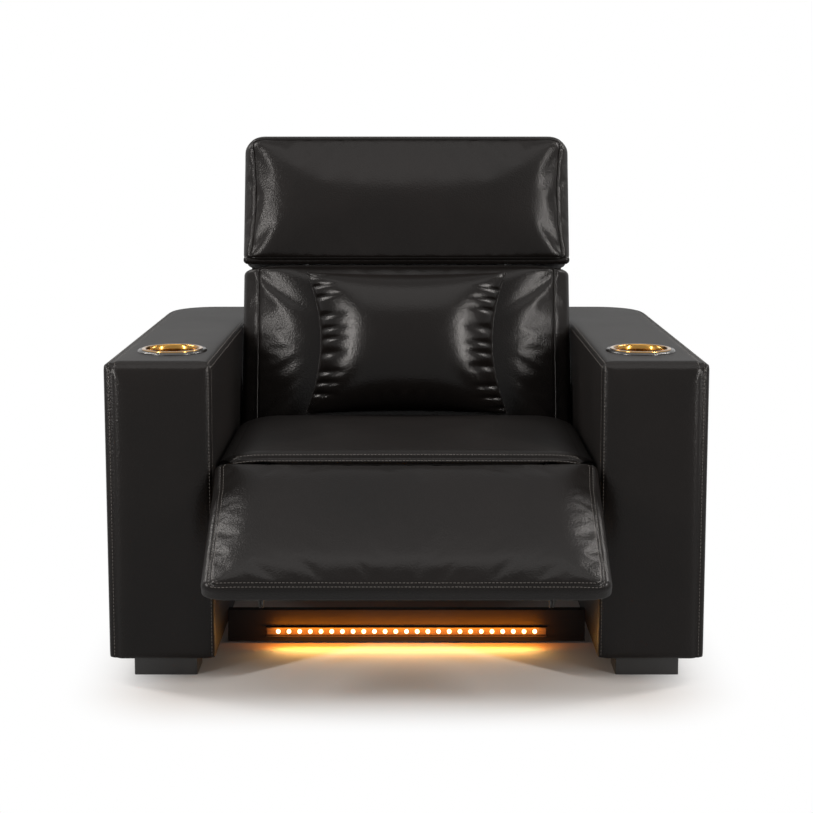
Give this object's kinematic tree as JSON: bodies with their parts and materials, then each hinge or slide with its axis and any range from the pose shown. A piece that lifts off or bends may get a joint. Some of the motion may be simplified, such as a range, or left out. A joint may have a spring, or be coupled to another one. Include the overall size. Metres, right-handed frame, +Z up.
{
  "type": "cinema recliner seat",
  "caption": "Motorised cinema armchair in black leather: box arms with cup holders, raisable footrest, reclining back, tilting headrest, lumbar pillow and LED-lit apron.",
  "frame": {"origin": "middle of the floor area, at floor level", "axes": "+Z up, the sitter faces -Y, +X is the sitter's left"},
  "size_m": [1.0432, 1.0958, 0.9444],
  "materials": {
    "black_leather": "fine pebble grain, satin",
    "pillow_leather": "smooth, semi-gloss",
    "plywood": "raw plywood",
    "black_board": "black vinyl-wrapped board",
    "gold_metal": "polished gold colour",
    "dark_trim": "satin black",
    "button_plastic": "fine texture",
    "foot_black": "satin black",
    "bright_steel": "zinc plated",
    "black_steel": "black powder coat",
    "motor_plastic": "moulded",
    "channel_aluminium": "dark anodised",
    "circuit_board": "flexible strip",
    "amber_led": "lit warm amber"
  },
  "bodies": {
    "base": {"arm_cover_left": "black_leather", "arm_cover_right": "black_leather", "arm_box_left": "plywood", "arm_box_right": "plywood", "arm_base_board_left": "plywood", "arm_base_board_right": "plywood", "cup_holder_left": "gold_metal", "cup_holder_right": "gold_metal", "cup_ring_left": "dark_trim", "cup_ring_right": "dark_trim", "foot_front_left": "foot_black", "foot_front_right": "foot_black", "foot_rear_left": "foot_black", "foot_rear_right": "foot_black", "foot_screws": "bright_steel", "arm_bolts": "bright_steel", "side_plate_left": "black_steel", "side_plate_right": "black_steel", "cross_tube_front": "black_steel", "cross_tube_rear": "black_steel", "seat_deck": "plywood", "seat_cushion": "black_leather", "hinge_ears": "black_steel", "bearing_ears": "black_steel", "footrest_motor": "motor_plastic", "back_motor": "motor_plastic", "front_apron": "black_board", "led_channel": "channel_aluminium", "led_board": "circuit_board", "led_lamps": "amber_led", "rear_panel": "black_leather", "power_inlet": "dark_trim", "power_supply": "motor_plastic", "control_panel": "dark_trim"},
    "footrest": {"footrest_cushion": "black_leather", "footrest_board": "plywood", "footrest_bracket_left": "black_steel", "footrest_bracket_right": "black_steel"},
    "torque_tube": {"torque_tube": "black_steel"},
    "drive_links": {"drive_link_left": "black_steel", "drive_link_right": "black_steel"},
    "footrest_rod": {"footrest_push_rod": "bright_steel"},
    "back": {"back_cushion": "black_leather", "back_board": "plywood", "back_rear_cover": "black_leather", "back_bracket_left": "black_steel", "back_bracket_right": "black_steel", "back_lever": "black_steel", "hinge_roll": "black_leather", "ratchet_brackets": "black_steel"},
    "back_rod": {"back_push_rod": "bright_steel"},
    "headrest": {"headrest_cushion": "black_leather", "headrest_board": "plywood", "headrest_rear_cover": "black_leather", "ratchet_arms": "black_steel"},
    "pillow": {"lumbar_pillow": "pillow_leather"},
    "footrest_raise_button": {"footrest_raise_button": "button_plastic"},
    "footrest_lower_button": {"footrest_lower_button": "button_plastic"},
    "back_recline_button": {"back_recline_button": "button_plastic"},
    "back_raise_button": {"back_raise_button": "button_plastic"}
  },
  "joints": [
    {"name": "footrest_raise", "type": "hinge", "parent": "base", "child": "footrest", "pos_m": [0, -0.29185, 0.372], "axis": [-1, 0, 0], "range_deg": [-59, 31]},
    {"name": "torque_tube_turn", "type": "hinge", "parent": "base", "child": "torque_tube", "pos_m": [0, -0.22185, 0.24], "axis": [-1, 0, 0], "range_deg": [-60, 32]},
    {"name": "drive_link_turn", "type": "hinge", "parent": "torque_tube", "child": "drive_links", "pos_m": [0, -0.29038, 0.14049], "axis": [-1, 0, 0], "range_deg": [-32, 60]},
    {"name": "footrest_rod_slide", "type": "slide", "parent": "base", "child": "footrest_rod", "axis": [0, -1, 0], "range_m": [-0.043, 0.023]},
    {"name": "back_recline", "type": "hinge", "parent": "base", "child": "back", "pos_m": [0, 0.23986, 0.30788], "axis": [-1, 0, 0], "range_deg": [0, 35]},
    {"name": "back_rod_slide", "type": "slide", "parent": "base", "child": "back_rod", "axis": [0, -1, 0], "range_m": [-0.001, 0.05]},
    {"name": "headrest_tilt", "type": "hinge", "parent": "back", "child": "headrest", "pos_m": [0, 0.22869, 0.69703], "axis": [1, 0, 0], "range_deg": [0, 40]},
    {"name": "pillow_lift_off", "type": "slide", "parent": "back", "child": "pillow", "axis": [0, -0.9613, 0.2756], "range_m": [0, 0.25]},
    {"name": "footrest_raise_button_press", "type": "slide", "parent": "base", "child": "footrest_raise_button", "axis": [1, 0, 0], "range_m": [0, 0.002], "stiffness_N_per_m": 1200},
    {"name": "footrest_lower_button_press", "type": "slide", "parent": "base", "child": "footrest_lower_button", "axis": [1, 0, 0], "range_m": [0, 0.002], "stiffness_N_per_m": 1200},
    {"name": "back_recline_button_press", "type": "slide", "parent": "base", "child": "back_recline_button", "axis": [1, 0, 0], "range_m": [0, 0.002], "stiffness_N_per_m": 1200},
    {"name": "back_raise_button_press", "type": "slide", "parent": "base", "child": "back_raise_button", "axis": [1, 0, 0], "range_m": [0, 0.002], "stiffness_N_per_m": 1200}
  ],
  "couplings": [
    {"joint": "torque_tube_turn", "follows": "footrest_raise", "ratio": 1},
    {"joint": "drive_link_turn", "follows": "footrest_raise", "ratio": -1},
    {"joint": "footrest_rod_slide", "follows": "footrest_raise", "m_per_rad": 0.040514},
    {"joint": "back_rod_slide", "follows": "back_recline", "m_per_rad": 0.078762}
  ]
}
